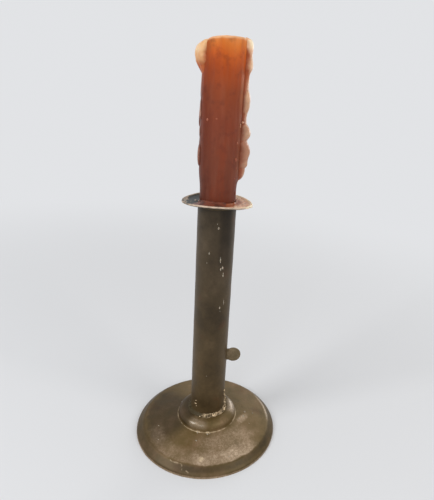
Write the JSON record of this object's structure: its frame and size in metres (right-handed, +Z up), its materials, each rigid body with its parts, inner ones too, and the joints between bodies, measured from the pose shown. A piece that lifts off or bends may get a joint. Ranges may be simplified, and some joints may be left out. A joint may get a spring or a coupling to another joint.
{
  "type": "hog scraper candlestick",
  "caption": "Sheet-iron candlestick with a domed round foot, plain tube, drip pan and sliding thumb ejector, holding a dripping candle.",
  "frame": {"origin": "middle of the foot on the surface it stands on", "axes": "+Z up along the tube, +X towards the thumb tab, +Y towards the back of the object as pictured"},
  "size_m": [0.1052, 0.1052, 0.2731],
  "materials": {
    "dark_iron": "aged brown-black patina, satin, worn lighter on the edges",
    "worn_iron": "worn iron, satin",
    "solder": "lumpy dull solder",
    "candle_wax": "red-brown wax, slightly glossy, glowing orange near the top",
    "pale_wax": "set drips of peach to cream wax",
    "wick": "charred cotton"
  },
  "bodies": {
    "stick": {"base_plate": "dark_iron", "shaft": "dark_iron", "drip_pan": "worn_iron", "foot_solder": "solder", "pan_solder": "solder", "seam_braze": "solder", "pan_wax": "pale_wax"},
    "ejector": {"piston_disc": "worn_iron", "slide_strip": "worn_iron", "thumb_tab": "dark_iron", "tab_rivets": "worn_iron", "disc_rivet": "worn_iron"},
    "candle": {"candle": "candle_wax", "wick": "wick", "wax_runs": "pale_wax"}
  },
  "joints": [
    {"name": "ejector_slide", "type": "slide", "parent": "stick", "child": "ejector", "axis": [0, 0, 1], "range_m": [0, 0.09]},
    {"name": "candle_lift", "type": "slide", "parent": "ejector", "child": "candle", "axis": [0, 0, 1], "range_m": [0, 0.1]}
  ]
}
